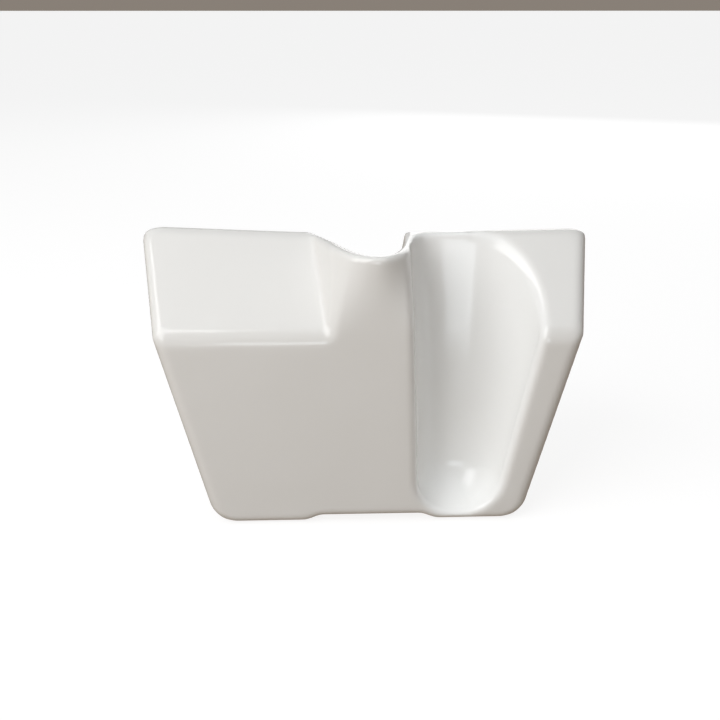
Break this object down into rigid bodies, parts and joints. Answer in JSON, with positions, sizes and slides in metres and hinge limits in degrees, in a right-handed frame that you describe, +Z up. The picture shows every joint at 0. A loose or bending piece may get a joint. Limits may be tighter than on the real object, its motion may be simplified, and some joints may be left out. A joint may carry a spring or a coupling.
{
  "type": "toast rack",
  "caption": "Hollow glazed ceramic toast rack shaped as a wave: an upright flute open to the front beside one open to the back, on small anti-slip pads.",
  "frame": {"origin": "under the middle of the ware, on the plane the pads stand on", "axes": "+X to the right seen from the front, along the rim; +Y to the back; +Z up"},
  "size_m": [0.1526, 0.0647, 0.0983],
  "materials": {
    "white_glaze": "glossy white glaze over cast white clay",
    "soft_silicone": "soft translucent white silicone",
    "pad_rubber": "matt grey foam rubber"
  },
  "bodies": {
    "root": {"rack_shell": "white_glaze", "pour_hole_stopper": "soft_silicone", "foot_pad_front_left": "pad_rubber", "foot_pad_front_right": "pad_rubber", "foot_pad_back_left": "pad_rubber", "foot_pad_back_right": "pad_rubber"}
  },
  "joints": []
}
